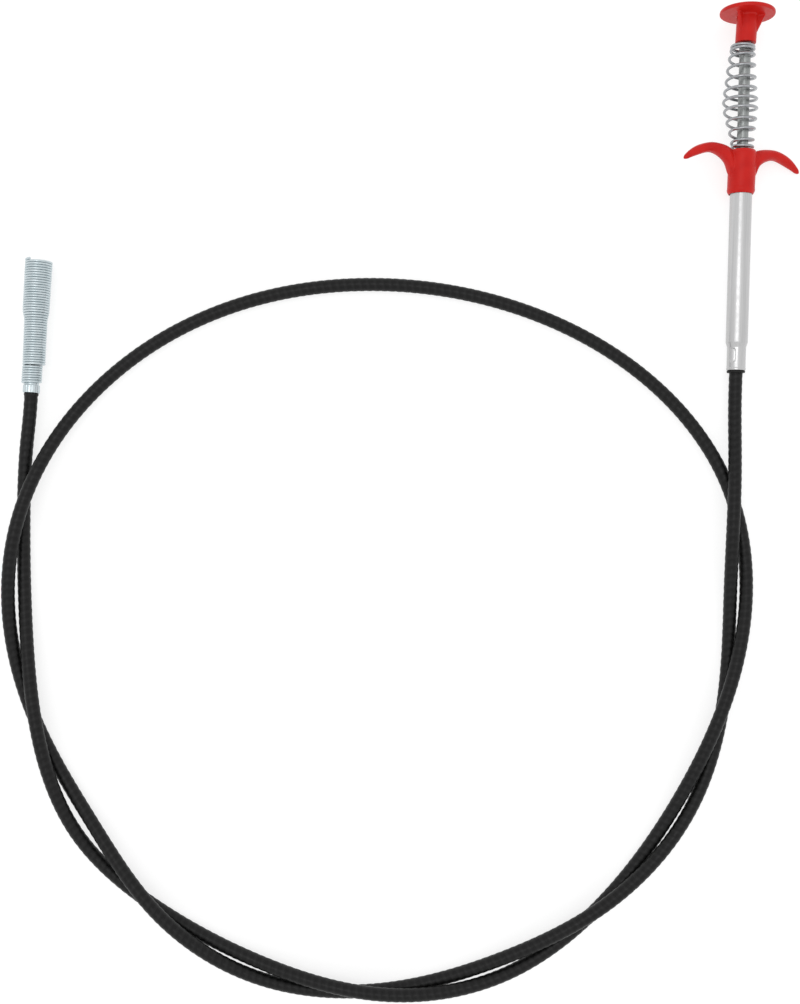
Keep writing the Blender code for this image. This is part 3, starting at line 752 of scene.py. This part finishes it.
def make_grip():
    """One moulding: the body with its collar and lip, and the two wings, with soft inner corners."""
    shoulder = GRIP_RADIUS - GRIP_TOP_RADIUS
    body = (
        (0, GRIP_BOTTOM),
        (GRIP_RADIUS - 0.75 * MM, GRIP_BOTTOM, 0.3 * MM),
        (GRIP_RADIUS - 0.1 * MM, GRIP_BOTTOM + 1.2 * MM, 0.3 * MM),
        (GRIP_RADIUS + 0.05 * MM, GRIP_BOTTOM + 2.1 * MM, 0.3 * MM),
        (GRIP_RADIUS - 0.1 * MM, GRIP_BOTTOM + 2.5 * MM, 0.5 * MM),
        (GRIP_RADIUS, GRIP_TOP - 2.5 * shoulder, 1 * MM),
        (GRIP_TOP_RADIUS, GRIP_TOP, 0.3 * MM),
        (0, GRIP_TOP),
    )
    solids = [lathe_mesh("grip_body", rounded(body), 128), wing_mesh(-1), wing_mesh(1)]
    bore = (
        (0, GRIP_BOTTOM - 1 * MM),
        (GRIP_SOCKET_BORE, GRIP_BOTTOM - 1 * MM),
        (GRIP_SOCKET_BORE, GRIP_SOCKET_TOP),
        (GRIP_GUIDE_BORE, GRIP_SOCKET_TOP),
        (GRIP_GUIDE_BORE, GRIP_TOP + 1 * MM),
        (0, GRIP_TOP + 1 * MM),
    )
    mesh = remeshed("grip_moulding", solids, [lathe_mesh("bore", bore, 64)], GRIP_VOXEL, 8)
    dress(piece("grip_moulding", mesh, grip, 50), RED, "red_plastic", "barrel", "finger_grip")


def rib_mesh(number):
    """A gusset between the button's stem and its disc."""
    turn = Matrix.Rotation(RIB_TURN + math.tau * number / RIB_COUNT, 3, "Z")
    half = RIB_THICKNESS / 2
    inner = STEM_RADIUS - 0.8 * MM
    outline = (
        (inner, DISC_BOTTOM - RIB_HEIGHT),
        (STEM_RADIUS + 0.1 * MM, DISC_BOTTOM - RIB_HEIGHT),
        (RIB_REACH, DISC_BOTTOM),
        (RIB_REACH, DISC_BOTTOM + 0.5 * MM),
        (inner, DISC_BOTTOM + 0.5 * MM),
    )
    rows = [[turn @ Vector((r, y, z)) for r, z in outline] for y in (half, -half)]
    return ring_mesh("rib", rows)


def make_button():
    """One moulding: a crowned disc on a stem with three gussets and a blind bore."""
    body = (
        (0, STEM_BOTTOM),
        (STEM_RADIUS, STEM_BOTTOM, 0.3 * MM),
        (STEM_RADIUS, DISC_BOTTOM - 0.2 * MM, 0.7 * MM),
        (DISC_RADIUS, DISC_BOTTOM, 0.5 * MM),
        (DISC_RADIUS, DISC_BOTTOM + DISC_RIM, 0.8 * MM),
        (DISC_CROWN_RADIUS, HANDLE_LENGTH, 3 * MM),
        (0, HANDLE_LENGTH),
    )
    solids = [lathe_mesh("button_body", rounded(body), 160)]
    solids += [rib_mesh(number) for number in range(RIB_COUNT)]
    bore = (
        (0, STEM_BOTTOM - 1 * MM),
        (STEM_BORE, STEM_BOTTOM - 1 * MM),
        (STEM_BORE, ROD_TOP + 0.5 * MM),
        (0, ROD_TOP + 0.5 * MM),
    )
    mesh = remeshed("button_moulding", solids, [lathe_mesh("bore", bore, 64)], BUTTON_VOXEL, 4)
    dress(piece("button_moulding", mesh, button, 50), RED, "red_plastic", "plunger", "thumb_button")


def make_rod():
    """Drawn rod with a rolled thread under the button."""
    edge = 0.4 * MM
    lower = rounded(((0, ROD_BOTTOM), (ROD_RADIUS, ROD_BOTTOM, edge), (ROD_RADIUS, THREAD_BOTTOM)))
    upper = rounded(((ROD_RADIUS, ROD_TOP - 2 * edge), (ROD_RADIUS - edge, ROD_TOP, edge), (0, ROD_TOP)))
    heights = np.arange(THREAD_BOTTOM + 0.1 * MM, ROD_TOP - 2.2 * edge, 0.1 * MM)
    middle = np.stack([np.full_like(heights, ROD_RADIUS), heights], -1)

    def thread(radius, angle, height):
        start = np.clip((height - THREAD_BOTTOM) / THREAD_PITCH, 0, 1)
        stop = np.clip((ROD_TOP - 2 * edge - height) / THREAD_PITCH, 0, 1)
        wave = 0.5 + 0.5 * np.cos(math.tau * height / THREAD_PITCH - angle)
        return radius + (THREAD_RADIUS - ROD_RADIUS) * (1.6 * wave - 0.6) * start * stop

    profile = np.concatenate([lower, middle, upper])
    mesh = lathe_mesh("rod_drawn", profile, 72, shape=thread)
    dress(piece("rod_drawn", mesh, handle), ROD_STEEL, "steel", "plunger", "plunger_rod")


def make_spring():
    """Barrel-shaped return spring of round wire, bowed to the left."""
    turns = np.arange(len(SPRING_PASSES))
    turn = np.linspace(SPRING_FIRST_TURN, turns[-1] + SPRING_PAST_TURNS, SPRING_STEPS)
    within = np.clip(turn, 0, turns[-1])
    height = spline(turns, SPRING_PASSES, within) - SPRING_END_DROP * (turn - within)
    barrel = np.array(SPRING_BARREL)
    outer, bow = spline(barrel[:, 0], barrel[:, 1:], height).T
    radius = (outer / 2 - SPRING_WIRE / MM) * MM
    angle = math.tau * turn + math.pi / 2
    right = radius * np.cos(angle) - bow * MM
    front = radius * np.sin(angle)
    level = axis_frame(handle_origin, handle_axis, 0)
    path = np.stack([right, -front, height * MM - SPRING_SLANT * right], -1)
    mesh = ring_mesh("spring_coil", sweep_rows(path, SPRING_WIRE, 16))
    spring = dress(piece("spring_coil", mesh, level), WIRE_STEEL, "spring_steel", "barrel", "return_spring")
    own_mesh(spring)


def strand_meshes(bottom, top):
    """A laid cable: strands round a straight one."""
    strand = CABLE_RADIUS / 3
    heights = np.linspace(bottom, top, max(8, round((top - bottom) / (0.3 * MM))))
    meshes = []
    for number in range(CABLE_STRANDS + 1):
        lay = 0 if number == CABLE_STRANDS else CABLE_RADIUS - strand
        angle = math.tau * number / CABLE_STRANDS + math.tau * heights / CABLE_LAY
        path = np.stack([lay * np.cos(angle), lay * np.sin(angle), heights], -1)
        meshes.append(ring_mesh("strand", sweep_rows(path, strand * 0.98, 10)))
    return meshes


def make_handle_insides():
    """What the tube hides: the crimp on the rod, the cable, and the hose's ferrule and liner."""
    crimp = (
        (1.25 * MM, 44 * MM, 0.2 * MM),
        (2.9 * MM, 44 * MM, 0.4 * MM),
        (3.2 * MM, 45.5 * MM, 0.4 * MM),
        (3.2 * MM, 48 * MM, 0.3 * MM),
        (2.95 * MM, 48.5 * MM, 0.3 * MM),
        (2.95 * MM, 50.5 * MM, 0.3 * MM),
        (3.2 * MM, 51 * MM, 0.3 * MM),
        (3.2 * MM, 56 * MM, 0.3 * MM),
        (2.75 * MM, 56 * MM, 0.1 * MM),
        (2.75 * MM, 49.8 * MM),
        (1.25 * MM, 49.8 * MM),
    )
    mesh = lathe_mesh("rod_crimp", rounded(crimp, closed=True), 64, closed=True)
    dress(piece("rod_crimp", mesh, handle), CRIMP_STEEL, "steel", "plunger", "cable_crimp")
    mesh = joined("handle_cable", strand_meshes(39.6 * MM, 49.5 * MM))
    cable = dress(piece("handle_cable", mesh, handle), WIRE_STEEL, "steel", "barrel", "cable_handle_end")
    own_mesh(cable)
    ferrule = (
        (HOSE_GRIP, 3.3 * MM, 0.05 * MM),
        (3.52 * MM, 3.3 * MM, 0.1 * MM),
        (3.52 * MM, 12.6 * MM, 0.8 * MM),
        (2.9 * MM, 14 * MM, 0.3 * MM),
        (LINER_BORE, 14 * MM, 0.2 * MM),
        (LINER_BORE, 6.9 * MM),
        (HOSE_GRIP, 6.9 * MM),
    )
    mesh = lathe_mesh("hose_end_ferrule", rounded(ferrule, closed=True), 96, closed=True)
    dress(piece("hose_end_ferrule", mesh, handle), CRIMP_STEEL, "steel", "barrel", "hose_ferrule")
    bush = (
        (3.25 * MM, -1.2 * MM, 0.3 * MM),
        (4.1 * MM, -1.2 * MM, 0.35 * MM),
        (4.1 * MM, -0.2 * MM, 0.15 * MM),
        (3.5 * MM, -0.2 * MM, 0.05 * MM),
        (3.5 * MM, 3.0 * MM, 0.2 * MM),
        (3.25 * MM, 3.0 * MM, 0.05 * MM),
    )
    mesh = lathe_mesh("bush_moulding", rounded(bush, closed=True), 96, closed=True)
    dress(piece("bush_moulding", mesh, handle), MOULDING, "black_plastic", "barrel", "hose_bush")
    make_liner("handle_liner", 6.95 * MM, 13.5 * MM, handle, "liner_handle_end")


def make_liner(name, bottom, top, place, node):
    """The steel liner's bare end: fine wire wound close."""
    count = round((top - bottom) / LINER_PITCH * 28)
    heights = np.linspace(bottom + LINER_WIRE, top - LINER_WIRE, count)
    angle = math.tau * heights / LINER_PITCH
    lay = LINER_RADIUS - LINER_WIRE
    path = np.stack([lay * np.cos(angle), lay * np.sin(angle), heights], -1)
    mesh = ring_mesh(name, sweep_rows(path, LINER_WIRE, 8))
    dress(piece(name, mesh, place), WIRE_STEEL, "steel", "barrel", node)


# ---------------------------------------------------------------- head


def make_sleeve():
    """The head's close-wound coil, one wire from the ferrule's neck to the mouth.

    The step from the small turns to the narrow ones is at the back.
    """
    small, narrow, wide = SLEEVE_SMALL_RADIUS, SLEEVE_NARROW_RADIUS, SLEEVE_WIDE_RADIUS
    marks = (SLEEVE_SMALL_TOP, SLEEVE_NARROW_TOP, SLEEVE_WIDE_BOTTOM, HEAD_LENGTH)
    outer = (narrow, narrow + 0.1 * MM, wide - 0.15 * MM, wide)
    bottom, top = SLEEVE_BOTTOM + SLEEVE_WIRE, HEAD_LENGTH - SLEEVE_WIRE
    turns = (top - bottom - SLEEVE_GAP) / SLEEVE_PITCH
    turn = np.linspace(0, turns, round(turns * SLEEVE_STEPS_PER_TURN))
    phase = (turns + SLEEVE_END_ANGLE / math.tau + 0.25) % 1
    step_turn = round((SLEEVE_SMALL_TOP - bottom) / SLEEVE_PITCH - phase) + phase
    step = np.clip(0.5 + (turn - step_turn) / SLEEVE_STEP_TURNS, 0, 1)
    height = bottom + turn * SLEEVE_PITCH + step * SLEEVE_GAP
    lay = np.interp(height, marks, outer) + (narrow - small) * (step - 1) - SLEEVE_WIRE
    lay += SLEEVE_TAIL_RISE * np.clip(1 - turn / SLEEVE_TAIL_TURNS, 0, 1)
    shift = np.interp(height, marks[:3], (SLEEVE_SAG, SLEEVE_SAG / 3, 0))
    shift += SLEEVE_SMALL_SHIFT * (1 - step)
    angle = SLEEVE_END_ANGLE + math.tau * (turns - turn)
    path = np.stack([lay * np.cos(angle) + shift, -lay * np.sin(angle), height], -1)
    mesh = ring_mesh("sleeve_coil", sweep_rows(path, SLEEVE_WIRE, 14))
    dress(piece("sleeve_coil", mesh, head), ZINC, "zinc_plate", "barrel", "claw_sleeve")


def make_head_ferrule():
    """Ferrule with a fluted skirt, pressed on the hose's end."""
    outline = (
        (HOSE_GRIP, 0, 0.1 * MM),
        (FERRULE_SKIRT_RADIUS, 0, 0.15 * MM),
        (FERRULE_SKIRT_RADIUS, FERRULE_SKIRT_TOP, 0.4 * MM),
        (FERRULE_RADIUS, FERRULE_SKIRT_TOP, 0.1 * MM),
        (FERRULE_RADIUS, FERRULE_TOP, 0.3 * MM),
        (LINER_BORE, FERRULE_TOP, 0.2 * MM),
        (LINER_BORE, 3.1 * MM, 0.1 * MM),
        (HOSE_GRIP, 3.1 * MM, 0.1 * MM),
    )

    def flutes(radius, angle, height):
        skirt = np.clip((radius - 3.4 * MM) / (0.3 * MM), 0, 1)
        level = np.clip(height / (0.5 * MM), 0, 1) * np.clip((3.6 * MM - height) / (0.5 * MM), 0, 1)
        wave = np.abs(np.sin(FLUTE_COUNT / 2 * angle)) ** 0.5
        return radius - FLUTE_DEPTH * (1 - wave) * skirt * (0.35 + 0.65 * level)

    profile = rounded(outline, closed=True)
    mesh = lathe_mesh("head_ferrule", profile, 180, closed=True, shape=flutes)
    dress(piece("head_ferrule", mesh, head), ZINC, "zinc_plate", "barrel", "tip_ferrule")


def make_head_insides():
    """The cable's end, its hub and the liner's end."""
    make_liner("head_liner", 3.25 * MM, 12 * MM, head, "liner_tip_end")
    mesh = joined("head_cable", strand_meshes(4.0 * MM, 30 * MM))
    dress(piece("head_cable", mesh, head), WIRE_STEEL, "steel", "claw_carrier", "cable_tip_end")
    hub = (
        (0, 30.3 * MM),
        (1.25 * MM, 30.3 * MM),
        (1.25 * MM, 26.2 * MM, 0.2 * MM),
        (2.3 * MM, 26.2 * MM, 0.4 * MM),
        (2.6 * MM, 27.3 * MM, 0.4 * MM),
        (2.6 * MM, 28.1 * MM, 0.3 * MM),
        (2.35 * MM, 28.6 * MM, 0.3 * MM),
        (2.35 * MM, 29.6 * MM, 0.3 * MM),
        (2.6 * MM, 30.1 * MM, 0.3 * MM),
        (2.6 * MM, 32.6 * MM, 0.2 * MM),
        (2.1 * MM, 32.6 * MM, 0.2 * MM),
        (2.1 * MM, 30.8 * MM, 0.2 * MM),
        (0, 30.8 * MM),
    )
    mesh = lathe_mesh("hub_cup", rounded(hub), 64)
    dress(piece("hub_cup", mesh, head), CRIMP_STEEL, "steel", "claw_carrier", "claw_hub")


def make_claws():
    """Four claws of spring wire, each on its hinge, with a hooked and pointed end."""
    share = np.linspace(0, 1, 30)
    leg = np.stack([CLAW_FLARE * share**3, CLAW_LEG * share], -1)
    angle = np.linspace(0, CLAW_HOOK_ANGLE, 20)[1:]
    hook = np.stack(
        [
            CLAW_FLARE - CLAW_HOOK_RADIUS * (1 - np.cos(angle)),
            CLAW_LEG + CLAW_HOOK_RADIUS * np.sin(angle),
        ],
        -1,
    )
    outline = np.concatenate([[(0, CLAW_ROOT)], leg, hook])
    for joint in sorted(claw_joints, key=lambda joint: joint["name"]):
        outward = Vector(joint["axis"]).cross(head_axis).normalized()
        start = np.array(joint["pos_m"])
        path = start + outline[:, :1] * np.array(outward) + outline[:, 1:] * np.array(head_axis)
        path = even_path(path, 0.25 * MM)
        to_end = chord_lengths(path)[-1] - chord_lengths(path)
        radius = CLAW_WIRE * np.clip(0.35 + to_end / (1.6 * MM), 0, 1)
        body = joint["child"]
        node = frame["record"]["behaviour"]["bodies"][body][0]
        name = f"{node}_wire"
        mesh = ring_mesh(name, sweep_rows(path, radius, 14))
        dress(piece(name, mesh), WIRE_STEEL, "spring_steel", body, node)


# ---------------------------------------------------------------- the scene

make_camera()
hose, hose_line = make_hose()
make_floor()
make_studio()
make_tube()
make_grip()
make_button()
make_rod()
make_spring()
make_handle_insides()
make_sleeve()
make_head_ferrule()
make_head_insides()
make_claws()

head_pieces = ["sleeve_coil", "head_ferrule", "head_cable", "head_liner", "hub_cup"]
head_pieces += [f"claw_{number}_wire" for number in (1, 2, 3, 4)]
